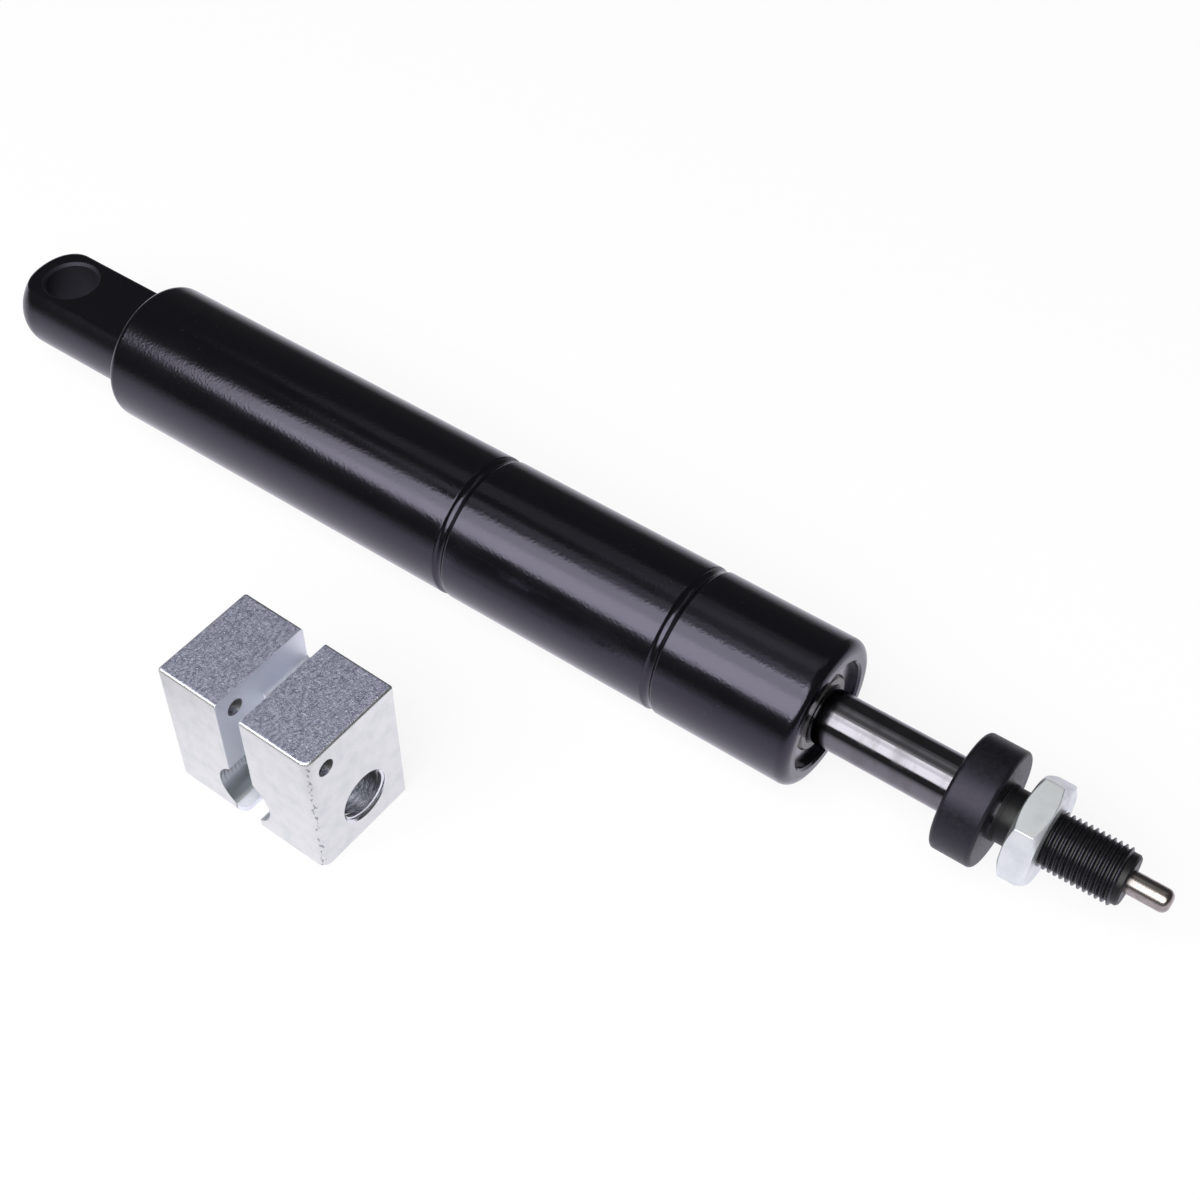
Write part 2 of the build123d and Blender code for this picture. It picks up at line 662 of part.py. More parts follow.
# Release head: a block slotted from the top, with a cross bore, a threaded hole and a pivot hole
head_floor = -tube_r
head_plane = Plane(origin=(head_corner_x, head_corner_y, head_floor)).rotated((0, 0, head_turn))
front_plane = Plane(origin=head_plane.origin, x_dir=head_plane.x_dir, z_dir=-head_plane.y_dir)
side_plane = Plane(origin=head_plane.origin, x_dir=head_plane.y_dir, z_dir=head_plane.x_dir)
slot_centre = slot_from_side + slot_width / 2
rod_hole_r = rod_r - nut_thread_depth
drill_point = (lever_bore_d - drill_tip) / 2 / math.tan(math.radians(drill_angle / 2))
with BuildPart() as release_head:
    with BuildSketch(head_plane):
        Rectangle(head_width, head_depth, align=Align.MIN)
    extrude(amount=head_height)
    upright_edges = release_head.edges().filter_by(Axis.Z)
    upright_edges = upright_edges.sort_by(lambda edge: edge.center().Y - edge.center().X)
    fillet(upright_edges[0], head_round_corner)
    upright_edges = release_head.edges().filter_by(Axis.Z)
    upright_edges = upright_edges.sort_by(lambda edge: edge.center().Y - edge.center().X)
    fillet(upright_edges[2:], head_edge)
    fillet(release_head.faces().sort_by(Axis.Z)[-1].edges(), head_edge)
    chamfer(release_head.faces().sort_by(Axis.Z)[0].edges(), head_lower_edge)
    with BuildSketch(head_plane):
        with Locations((slot_centre, slot_deep_length / 2)):
            Rectangle(slot_width, slot_deep_length)
    extrude(amount=head_height, mode=Mode.SUBTRACT)
    with BuildSketch(head_plane.offset(head_height - slot_floor_depth)):
        with Locations((slot_centre, head_depth / 2)):
            Rectangle(slot_width, head_depth)
    extrude(amount=slot_floor_depth, mode=Mode.SUBTRACT)
    floor_level = head_floor + head_height - slot_floor_depth
    slot_floor = release_head.faces().filter_by(Plane.XY).filter_by(
        lambda face: abs(face.center().Z - floor_level) < tiny
    )
    fillet(slot_floor[0].edges().sort_by(SortBy.LENGTH)[-2:], slot_floor_round)
    with BuildSketch(front_plane):
        with Locations((lever_bore_side, lever_bore_height)):
            Circle(lever_bore_d / 2)
    extrude(amount=-lever_bore_depth, mode=Mode.SUBTRACT)
    with BuildSketch(front_plane.offset(-lever_bore_depth)):
        with Locations((lever_bore_side, lever_bore_height)):
            Circle(lever_bore_d / 2)
    extrude(amount=-drill_point, taper=drill_angle / 2, mode=Mode.SUBTRACT)
    with BuildSketch(side_plane.offset(head_width)):
        with Locations((rod_hole_back, rod_hole_height)):
            Circle(rod_hole_r)
    extrude(amount=slot_from_side + slot_width - head_width, mode=Mode.SUBTRACT)
    hole_rim = release_head.edges().filter_by(GeomType.CIRCLE).filter_by(
        lambda edge: abs(edge.radius - rod_hole_r) < tiny
    )
    chamfer(hole_rim.sort_by(Axis.X)[-1], rod_hole_chamfer)
    with BuildSketch(side_plane):
        with Locations((pivot_back, head_height - pivot_drop)):
            Circle(pivot_d / 2)
    extrude(amount=head_width, mode=Mode.SUBTRACT)
release_head.part.label = "release_head"
export_step(release_head.part, "parts/release_head.step")
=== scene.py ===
import bpy
import json
import math
from mathutils import Matrix, Vector

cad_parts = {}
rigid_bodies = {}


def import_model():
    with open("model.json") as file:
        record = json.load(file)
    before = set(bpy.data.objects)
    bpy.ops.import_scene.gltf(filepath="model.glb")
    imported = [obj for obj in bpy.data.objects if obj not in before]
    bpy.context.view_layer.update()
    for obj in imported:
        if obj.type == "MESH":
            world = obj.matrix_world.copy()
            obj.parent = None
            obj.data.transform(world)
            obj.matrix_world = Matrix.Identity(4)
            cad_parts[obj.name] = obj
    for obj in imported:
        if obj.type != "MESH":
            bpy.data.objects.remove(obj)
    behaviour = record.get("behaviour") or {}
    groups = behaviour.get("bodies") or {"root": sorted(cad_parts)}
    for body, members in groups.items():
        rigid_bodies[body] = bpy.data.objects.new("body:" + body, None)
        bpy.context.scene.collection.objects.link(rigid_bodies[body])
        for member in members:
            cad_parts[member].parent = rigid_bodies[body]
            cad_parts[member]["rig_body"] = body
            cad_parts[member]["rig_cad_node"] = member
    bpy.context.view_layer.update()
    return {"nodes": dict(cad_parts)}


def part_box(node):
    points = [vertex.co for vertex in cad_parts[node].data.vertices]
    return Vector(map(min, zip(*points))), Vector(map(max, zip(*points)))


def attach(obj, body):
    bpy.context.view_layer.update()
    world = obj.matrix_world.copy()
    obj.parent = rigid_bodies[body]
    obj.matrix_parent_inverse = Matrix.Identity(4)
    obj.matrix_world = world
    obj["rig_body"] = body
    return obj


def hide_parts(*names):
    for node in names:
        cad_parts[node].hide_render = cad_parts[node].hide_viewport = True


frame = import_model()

nodes = frame["nodes"]
mm = 0.001
white = (1, 1, 1, 1)
print("frame loaded:", len(nodes), "nodes")


# camera, as the photograph was taken

cameraSetup = {
    "place": (257.41, -179.79, 255.68),  # mm from the middle of the eye's bore
    "forward": (-0.3829, 0.5282, -0.7578),
    "lens": 58.92,
    "sensor": 36.0,
    "nearest": 0.01,         # m
    "farthest": 20,
}


def addCamera(setup):
    bpy.ops.object.camera_add()
    camera = bpy.context.object
    camera.name = "photoCamera"
    camera.data.lens = setup["lens"]
    camera.data.sensor_width = setup["sensor"]
    camera.data.clip_start = setup["nearest"]
    camera.data.clip_end = setup["farthest"]
    camera.location = Vector(setup["place"]) * mm
    camera.rotation_euler = Vector(setup["forward"]).to_track_quat("-Z", "Y").to_euler()
    bpy.context.scene.camera = camera


addCamera(cameraSetup)
bpy.context.scene.view_settings.view_transform = "Standard"
print("camera placed")


# node helpers

# inputs of the Mix node for its two values, and its output, for each kind of value
mixSockets = {"RGBA": (6, 7, 2), "FLOAT": (2, 3, 0)}


def newMaterial(name):
    material = bpy.data.materials.new(name)
    material.use_nodes = True
    tree = material.node_tree
    return material, tree, tree.nodes["Principled BSDF"]


def addNode(tree, kind, inputs=None, **settings):
    node = tree.nodes.new(kind)
    for key, value in settings.items():
        setattr(node, key, value)
    for key, value in (inputs or {}).items():
        if isinstance(value, bpy.types.NodeSocket):
            tree.links.new(value, node.inputs[key])
        else:
            node.inputs[key].default_value = value
    return node


def maths(tree, operation, first, second=0.0):
    return addNode(tree, "ShaderNodeMath", {0: first, 1: second}, operation=operation).outputs[0]


def mix(tree, share, first, second, kind="RGBA"):
    firstInput, secondInput, result = mixSockets[kind]
    inputs = {0: share, firstInput: first, secondInput: second}
    return addNode(tree, "ShaderNodeMix", inputs, data_type=kind).outputs[result]


def ramp(tree, value, low, high, lowOut=0.0, highOut=1.0):
    node = addNode(tree, "ShaderNodeMapRange", {
        "Value": value, "From Min": low, "From Max": high, "To Min": lowOut, "To Max": highOut})
    return node.outputs["Result"]


def noise(tree, point, scale, detail=4.0, rough=0.5):
    texture = addNode(tree, "ShaderNodeTexNoise", {
        "Vector": point, "Scale": scale, "Detail": detail, "Roughness": rough})
    return texture.outputs["Fac"]


def moved(tree, point, scale=(1, 1, 1), turn=(0, 0, 0), shift=(0, 0, 0)):
    mapping = addNode(tree, "ShaderNodeMapping", {
        "Vector": point, "Scale": scale, "Rotation": turn, "Location": shift})
    return mapping.outputs["Vector"]


def objectPoint(tree, **placing):
    coordinates = addNode(tree, "ShaderNodeTexCoord")
    return moved(tree, coordinates.outputs["Object"], **placing)


def axes(tree, point):
    parts = addNode(tree, "ShaderNodeSeparateXYZ", {"Vector": point})
    return parts.outputs["X"], parts.outputs["Y"], parts.outputs["Z"]


def offAxis(tree, first, second, firstPlace, secondPlace):
    # how far a point lies from a line along the third axis
    a = maths(tree, "SUBTRACT", first, firstPlace)
    b = maths(tree, "SUBTRACT", second, secondPlace)
    squares = maths(tree, "ADD", maths(tree, "MULTIPLY", a, a), maths(tree, "MULTIPLY", b, b))
    return maths(tree, "SQRT", squares)


def within(tree, distance, reach, edge):
    # 1 inside the reach and 0 outside, fading between the two edge distances past it
    return ramp(tree, distance, reach + edge[0], reach + edge[1])


def bump(tree, shader, height, distance, strength=1.0, before=None):
    inputs = {"Height": height, "Distance": distance, "Strength": strength}
    if before is not None:
        inputs["Normal"] = before.outputs["Normal"]
    node = addNode(tree, "ShaderNodeBump", inputs)
    tree.links.new(node.outputs["Normal"], shader.inputs["Normal"])
    return node


def dress(name, material):
    piece = nodes[name]
    for index in range(len(piece.data.materials)):
        piece.data.materials[index] = material
    if not piece.data.materials:
        piece.data.materials.append(material)


# mesh helpers

copied = {
    "merge": 0.001,          # mm
    "flatAngle": 0.3,        # facets that meet within this many degrees become one face
}


def selectOnly(piece):
    bpy.ops.object.select_all(action="DESELECT")
    piece.select_set(True)
    bpy.context.view_layer.objects.active = piece


def applyModifier(piece, name, kind, **settings):
    selectOnly(piece)
    modifier = piece.modifiers.new(name, kind)
    for key, value in settings.items():
        setattr(modifier, key, value)
    bpy.ops.object.modifier_apply(modifier=name)


def copyNode(name, source, values):
    selectOnly(nodes[source])
    bpy.ops.object.duplicate()
    piece = bpy.context.object
    piece.name = name
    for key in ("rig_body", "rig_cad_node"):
        if key in piece:
            del piece[key]
    bpy.ops.object.mode_set(mode="EDIT")
    bpy.ops.mesh.select_all(action="SELECT")
    bpy.ops.mesh.customdata_custom_splitnormals_clear()
    bpy.ops.mesh.remove_doubles(threshold=values["merge"] * mm)
    bpy.ops.mesh.dissolve_limited(angle_limit=math.radians(values["flatAngle"]))
    bpy.ops.object.mode_set(mode="OBJECT")
    return piece


def smoothPiece(piece, angle):
    # smooth over the small facets, while the big flats stay flat
    selectOnly(piece)
    bpy.ops.object.shade_smooth_by_angle(angle=math.radians(angle))
    applyModifier(piece, "flats", "WEIGHTED_NORMAL", keep_sharp=True)


def windProfile(name, values, first, foot, top, turns):
    # a four-cornered profile wound round X; foot and top are its half width and radius, m
    (footHalf, low), (topHalf, high) = foot, top
    bpy.ops.object.select_all(action="DESELECT")
    bpy.ops.mesh.primitive_plane_add(size=2 * footHalf, location=(0, 0, 0))
    wound = bpy.context.object
    wound.name = name
    corners = {
        (-1, -1): (first - footHalf, low, 0),
        (1, -1): (first + footHalf, low, 0),
        (1, 1): (first + topHalf, high, 0),
        (-1, 1): (first - topHalf, high, 0),
    }
    for vertex in wound.data.vertices:
        vertex.co = corners[round(vertex.co.x / footHalf), round(vertex.co.y / footHalf)]
    applyModifier(
        wound, "wind", "SCREW", axis="X", angle=2 * math.pi, screw_offset=values["pitch"] * mm,
        iterations=turns, steps=values["steps"], render_steps=values["steps"],
        use_merge_vertices=False)
    return wound


def cutAway(piece, cutter):
    applyModifier(piece, "cut", "BOOLEAN", operation="DIFFERENCE", solver="EXACT", object=cutter)
    bpy.data.objects.remove(cutter, do_unlink=True)


def placeInBlock(piece, block, start=(0, 0, 0)):
    # from the block's own corner and turn to the frame
    corner = Vector(block["corner"]) * mm
    turn = Matrix.Rotation(math.radians(block["turn"]), 4, "Z")
    selectOnly(piece)
    piece.matrix_world = Matrix.Translation(corner) @ turn @ Matrix.Translation(start)
    bpy.ops.object.transform_apply(location=True, rotation=True, scale=True)


def bevelEdges(piece, wanted, width, steps):
    bpy.ops.object.mode_set(mode="EDIT")
    bpy.ops.mesh.select_mode(type="EDGE")
    bpy.ops.mesh.select_all(action="DESELECT")
    bpy.ops.object.mode_set(mode="OBJECT")
    for edge in piece.data.edges:
        edge.select = wanted([piece.data.vertices[index].co for index in edge.vertices])
    bpy.ops.object.mode_set(mode="EDIT")
    bpy.ops.mesh.bevel(offset=width * mm, segments=steps, affect="EDGES")
    bpy.ops.object.mode_set(mode="OBJECT")


# black stove paint of the tube and the eye

paint = {
    "colour": (0.0024, 0.0024, 0.0034, 1),
    "sheen": (0.82, 0.77, 1.0, 1),   # the paint's reflections lean to violet
    "ior": 1.6,
    "roughness": 0.13,
    "eyeExtra": 0.06,        # the eye is a little duller than the tube
    "cloud": (90.0, 4.0),    # patches of dull and bright: waves per metre, detail
    "cloudRange": (0.35, 0.65),
    "cloudSpread": 0.05,
    "orangePeel": 0.75,      # size of the waves, mm
    "peelDetail": 2.0,
    "fineGrain": 0.5,        # mm
    "fineDetail": 1.0,
    "fineShare": 2.6,
    "peelDepth": 0.015,      # mm
    "peelStrength": 0.4,
    "boreReach": 5.7,        # the eye's bore and its rim are dull, mm from its axis
    "boreFade": 0.97,
    "boreRough": 0.42,
    "dust": (0.2, 0.2, 0.22, 1),
    "dustSize": 0.35,        # mm
    "dustDetail": 2.0,
    "dustRange": (0.76, 0.79),
    "dustShare": 0.5,
    "dustHeight": 1.5,
}


def makePaint(name, values, extraRoughness=0.0, dullBore=False):
    material, tree, shader = newMaterial(name)
    point = objectPoint(tree)
    peel = noise(tree, point, 1 / (values["orangePeel"] * mm), values["peelDetail"])
    fine = noise(tree, point, 1 / (values["fineGrain"] * mm), values["fineDetail"])
    cloud = noise(tree, point, *values["cloud"])
    dust = noise(tree, point, 1 / (values["dustSize"] * mm), values["dustDetail"])
    dust = ramp(tree, dust, *values["dustRange"])
    dustShare = maths(tree, "MULTIPLY", dust, values["dustShare"])
    colour = mix(tree, dustShare, values["colour"], values["dust"])
    tree.links.new(colour, shader.inputs["Base Color"])
    low = values["roughness"] + extraRoughness
    rough = ramp(tree, cloud, *values["cloudRange"], low, low + values["cloudSpread"])
    if dullBore:
        across, back, _ = axes(tree, point)
        reach = values["boreReach"] * mm
        fromBore = offAxis(tree, across, back, 0.0, 0.0)
        dull = ramp(tree, fromBore, reach, reach * values["boreFade"], 0.0, values["boreRough"])
        rough = maths(tree, "ADD", rough, dull)
    tree.links.new(rough, shader.inputs["Roughness"])
    shader.inputs["IOR"].default_value = values["ior"]
    shader.inputs["Specular Tint"].default_value = values["sheen"]
    waves = maths(tree, "ADD", peel, maths(tree, "MULTIPLY", fine, values["fineShare"]))
    height = maths(tree, "ADD", waves, maths(tree, "MULTIPLY", dust, values["dustHeight"]))
    bump(tree, shader, height, values["peelDepth"] * mm, values["peelStrength"])
    return material


# dark chrome of the rod, with the blackened neck and thread past the collar

rod = {
    "chrome": (0.16, 0.155, 0.172, 1),
    "stain": (0.11, 0.105, 0.115, 1),
    "stains": (260.0, 5.0, 0.6),     # waves per metre, detail, roughness
    "stainStretch": (1, 0.5, 0.5),
    "stainRange": (0.45, 0.75),
    "chromeRough": (0.42, 0.68, 0.09, 0.2),  # range of the stains, and of the roughness
    "streak": 0.35,          # fine rings left by the grinding, mm
    "streakStretch": (1, 0.02, 0.02),
    "streakDetail": 3.0,
    "streakDepth": 0.004,    # mm
    "streakStrength": 0.3,
    "black": (0.005, 0.005, 0.006, 1),
    "blackRough": 0.3,       # more than the chrome's
    "blackIor": 1.38,
    "blackStart": 205.4,     # mm from the eye's bore
    "blackEdge": 0.1,
}


def makeRod(name, values):
    material, tree, shader = newMaterial(name)
    point = objectPoint(tree)
    along = axes(tree, point)[0]
    start = values["blackStart"] * mm
    isBlack = ramp(tree, along, start - values["blackEdge"] * mm, start)
    stains = noise(tree, moved(tree, point, scale=values["stainStretch"]), *values["stains"])
    chrome = mix(tree, ramp(tree, stains, *values["stainRange"]), values["chrome"], values["stain"])
    tree.links.new(mix(tree, isBlack, chrome, values["black"]), shader.inputs["Base Color"])
    tree.links.new(maths(tree, "SUBTRACT", 1.0, isBlack), shader.inputs["Metallic"])
    chromeRough = ramp(tree, stains, *values["chromeRough"])
    blackRough = maths(tree, "MULTIPLY", isBlack, values["blackRough"])
    tree.links.new(maths(tree, "ADD", chromeRough, blackRough), shader.inputs["Roughness"])
    shader.inputs["IOR"].default_value = values["blackIor"]
    streakPoint = objectPoint(tree, scale=values["streakStretch"])
    streaks = noise(tree, streakPoint, 1 / (values["streak"] * mm), values["streakDetail"])
    bump(tree, shader, streaks, values["streakDepth"] * mm, values["streakStrength"])
    return material


# plain finishes, each with its own grain: two colours, metal or not, roughness, grain in mm

finishes = {
    "threadBlack": {
        "colours": ((0.006, 0.006, 0.007, 1), (0.014, 0.014, 0.016, 1)),
        "metal": 0.0, "rough": 0.27, "grain": 0.6, "ior": 1.42},
    "collarRubber": {
        "colours": ((0.0045, 0.0045, 0.006, 1), (0.011, 0.0105, 0.014, 1)),
        "metal": 0.0, "rough": 0.4, "grain": 0.7, "ior": 1.42},
    "nutZinc": {
        "colours": ((0.8, 0.83, 0.84, 1), (0.69, 0.73, 0.75, 1)),
        "metal": 0.85, "rough": 0.38, "grain": 2.6},
    "pinNickel": {
        "colours": ((0.4, 0.36, 0.345, 1), (0.26, 0.235, 0.225, 1)),
        "metal": 1.0, "rough": 0.24, "grain": 1.0},
    # the guide cap is darker than its own steel: painted shade of the recess at the tube's mouth
    "capSteelPaintedShade": {
        "colours": ((0.22, 0.21, 0.235, 1), (0.13, 0.125, 0.14, 1)),
        "metal": 1.0, "rough": 0.17, "grain": 1.4},
    "capZinc": {
        "colours": ((0.66, 0.66, 0.7, 1), (0.55, 0.55, 0.6, 1)),
        "metal": 1.0, "rough": 0.3, "grain": 1.0},
    # the wiper is darker than its own colour: painted shade of the recess at the tube's mouth
    "wiperPolymerPaintedShade": {
        "colours": ((0.09, 0.083, 0.08, 1), (0.03, 0.028, 0.027, 1)),
        "metal": 0.0, "rough": 0.25, "grain": 0.8},
    "pistonAluminium": {
        "colours": ((0.7, 0.71, 0.73, 1), (0.6, 0.61, 0.63, 1)),
        "metal": 1.0, "rough": 0.3, "grain": 0.8},
    "valveBrass": {
        "colours": ((0.72, 0.55, 0.25, 1), (0.6, 0.44, 0.2, 1)),
        "metal": 1.0, "rough": 0.25, "grain": 0.8},
    "tappetSteel": {
        "colours": ((0.6, 0.6, 0.62, 1), (0.5, 0.5, 0.52, 1)),
        "metal": 1.0, "rough": 0.25, "grain": 0.8},
    "sealRubber": {
        "colours": ((0.015, 0.015, 0.016, 1), (0.03, 0.03, 0.03, 1)),
        "metal": 0.0, "rough": 0.5, "grain": 0.5},
    "ringPolymer": {
        "colours": ((0.78, 0.76, 0.7, 1), (0.7, 0.68, 0.62, 1)),
        "metal": 0.0, "rough": 0.45, "grain": 0.8},
    "guidePolymer": {
        "colours": ((0.16, 0.16, 0.15, 1), (0.1, 0.1, 0.1, 1)),
        "metal": 0.0, "rough": 0.45, "grain": 0.8},
}

finishGrain = {
    "detail": 5.0,
    "roughness": 0.6,
    "colourRange": (0.35, 0.7),
    "roughRange": (0.3, 0.7),
    "roughSpread": (-0.05, 0.08),
    "depth": 0.01,           # mm
    "strength": 0.3,
}


def makeFinish(name, values, texture):
    material, tree, shader = newMaterial(name)
    point = objectPoint(tree)
    grain = noise(tree, point, 1 / (values["grain"] * mm), texture["detail"], texture["roughness"])
    colour = mix(tree, ramp(tree, grain, *texture["colourRange"]), *values["colours"])
    tree.links.new(colour, shader.inputs["Base Color"])
    low, high = (values["rough"] + change for change in texture["roughSpread"])
    tree.links.new(ramp(tree, grain, *texture["roughRange"], low, high), shader.inputs["Roughness"])
    shader.inputs["Metallic"].default_value = values["metal"]
    if "ior" in values:
        shader.inputs["IOR"].default_value = values["ior"]
        shader.inputs["Specular Tint"].default_value = paint["sheen"]
    bump(tree, shader, grain, texture["depth"] * mm, texture["strength"])
    return material


# zinc plate of the release head: ground top, satin sides

head = {
    "corner": (87.3, -64.1, -13.5),  # mm, nearest lower corner; the places below are from it
    "turn": -1.43,           # degrees
    "depth": 20.0,           # from the front face to the plain back face
    "topHeight": (15, 16),   # faces that look up and lie above this are ground
    "topNormal": (0.8, 0.97),
    "side": (0.83, 0.84, 0.82, 1),
    "sideDull": (0.74, 0.77, 0.76, 1),
    "cloud": (0.35, 5.0, 0.6),       # noise: waves per mm, detail, roughness
    "cloudRange": (0.42, 0.7),
    "cloudDepth": 0.06,      # height of the waves in the surface, mm
    "cloudStrength": 0.5,
    "sideRough": (0.3, 0.7, 0.34, 0.42),     # range of the noise, and of the roughness
    "ground": (0.26, 0.27, 0.375, 1),
    "groundLight": (0.68, 0.69, 0.83, 1),
    "coarse": (1.9, 4.0, 0.7),
    "coarseStretch": (1, 0.6, 1),
    "coarseRange": (0.35, 0.7),
    "grain": (3.0, 3.0, 0.7),
    "grainRange": (0.58, 0.68),
    "grainOnSides": 0.12,
    "grainDepth": 0.16,
    "grainStrength": 0.8,
    "topRough": (0.3, 0.7, 0.5, 0.66),
    "scratchAndHighlight": (0.92, 0.92, 0.96, 1),
    "scratchShare": 0.7,
    "scratchHeight": 0.5,
    "scratches": (
        {"angle": 28, "spacing": 5.0, "stretch": 6.0, "width": 0.02, "share": 0.34},
        {"angle": -35, "spacing": 4.0, "stretch": 5.0, "width": 0.018, "share": 0.3},
    ),
    "wallEdge": (0.1, 0.02),         # a mask of the slot or the bore fades this far past its wall
    "slotHalf": 2.6,
    # the slot's walls are lighter and bluer than the sides: painted light in the slot
    "slotWallPaintedLight": (0.92, 0.94, 0.99, 1),
    "slotRough": 0.2,        # more than the sides'
    "slotEnd": (-0.03, -0.07),       # and where it fades, short of the back face
    "boreSide": 15.25,       # the lever bore, drilled backwards from the front
    "boreHeight": 6.6,
    "boreRadius": 5.5,
    "boreEnd": (-0.4, -0.5),         # short of the back face too
    # the lever bore's wall is darker above the lip: painted shade, and a little of the drilled
    # metal's own dullness
    "drilledAndPaintedShade": (0.5, 0.53, 0.55, 1),
    "paintedBoreShadeHeight": (1.9, 2.3),     # the lip's lower part stays bright, a painted reflection
    "ringTurns": 8.0,        # rings left by the drill
    "ringWander": 0.5,
    "ringHeight": (4.5, 7.5),
    "ringRange": (0.3, 0.9, 0.0, 0.5),       # range of the wave, and of the painted highlight on it
    "ringDepth": 1.3,
    # the threaded hole's wall is a little lighter and bluer than the sides: painted light in the
    # hole
    "holeWallPaintedLight": (0.84, 0.85, 0.88, 1),
    "tappedPlace": (10.8, 8.6),      # the threaded hole's axis: back, up
    "tappedRadius": 4.95,
    "tappedEdge": (0.08, 0.0),
    "tappedFrom": (18.0, 18.1),      # only the cheek past the slot has the thread
    "tappedRough": 0.16,     # less than the sides'
    "pittedEdge": (31.6, 0.4),       # the upright edge that is dented
    "pit": (0.36, 0.36, 0.4, 1),
    "pits": (2.1, 4.0, 0.6),
    "pitStretch": (1, 1, 0.6),
    "pitLimit": (0.25, 1.0, 0.545, 0.76),    # reach from the edge, and the noise it takes there
    "pitFade": 0.03,
    "dentDepth": 0.1,
    "dentStrength": 0.6,
}

scratchLook = {
    "tall": 0.02,            # the cells are stretched upwards, so a flat face cuts them cleanly
    "core": 0.3,             # share of a line's width that is solid
    "patches": (0.8, 2.0),   # noise that keeps a line only in places
    "patchShift": (7.3, 1.9, 0),
    "patchEdge": 0.03,
}


def scratches(tree, point, look, angle, spacing, stretch, width, share):
    # thin broken lines: the borders of long cells, kept only in places
    size = (1 / spacing, stretch / spacing, look["tall"])
    turned = moved(tree, point, scale=size, turn=(0, 0, math.radians(angle)))
    cells = addNode(
        tree, "ShaderNodeTexVoronoi", {"Vector": turned, "Scale": 1.0}, feature="DISTANCE_TO_EDGE")
    line = ramp(tree, cells.outputs["Distance"], width, width * look["core"])
    patches = noise(tree, moved(tree, turned, shift=look["patchShift"]), *look["patches"])
    keep = ramp(tree, patches, 1 - share, 1 - share + look["patchEdge"])
    return maths(tree, "MULTIPLY", line, keep)


def headMasks(tree, values, across, back, up):
    # the machined places of the block, 1 where each one is
    normal = addNode(tree, "ShaderNodeNewGeometry").outputs["Normal"]
    looksUp = ramp(tree, axes(tree, normal)[2], *values["topNormal"])
    isTop = maths(tree, "MULTIPLY", looksUp, ramp(tree, up, *values["topHeight"]))
    offSlot = maths(tree, "ABSOLUTE", maths(tree, "SUBTRACT", across, values["boreSide"]))
    inSlot = maths(tree, "MULTIPLY",
                   within(tree, offSlot, values["slotHalf"], values["wallEdge"]),
                   within(tree, back, values["depth"], values["slotEnd"]))
    offBore = offAxis(tree, across, up, values["boreSide"], values["boreHeight"])
    inBore = maths(tree, "MULTIPLY",
                   within(tree, offBore, values["boreRadius"], values["wallEdge"]),
                   within(tree, back, values["depth"], values["boreEnd"]))
    offHole = offAxis(tree, back, up, *values["tappedPlace"])
    inHole = maths(tree, "MULTIPLY",
                   within(tree, offHole, values["tappedRadius"], values["tappedEdge"]),
                   ramp(tree, across, *values["tappedFrom"]))
    return isTop, inSlot, inBore, inHole


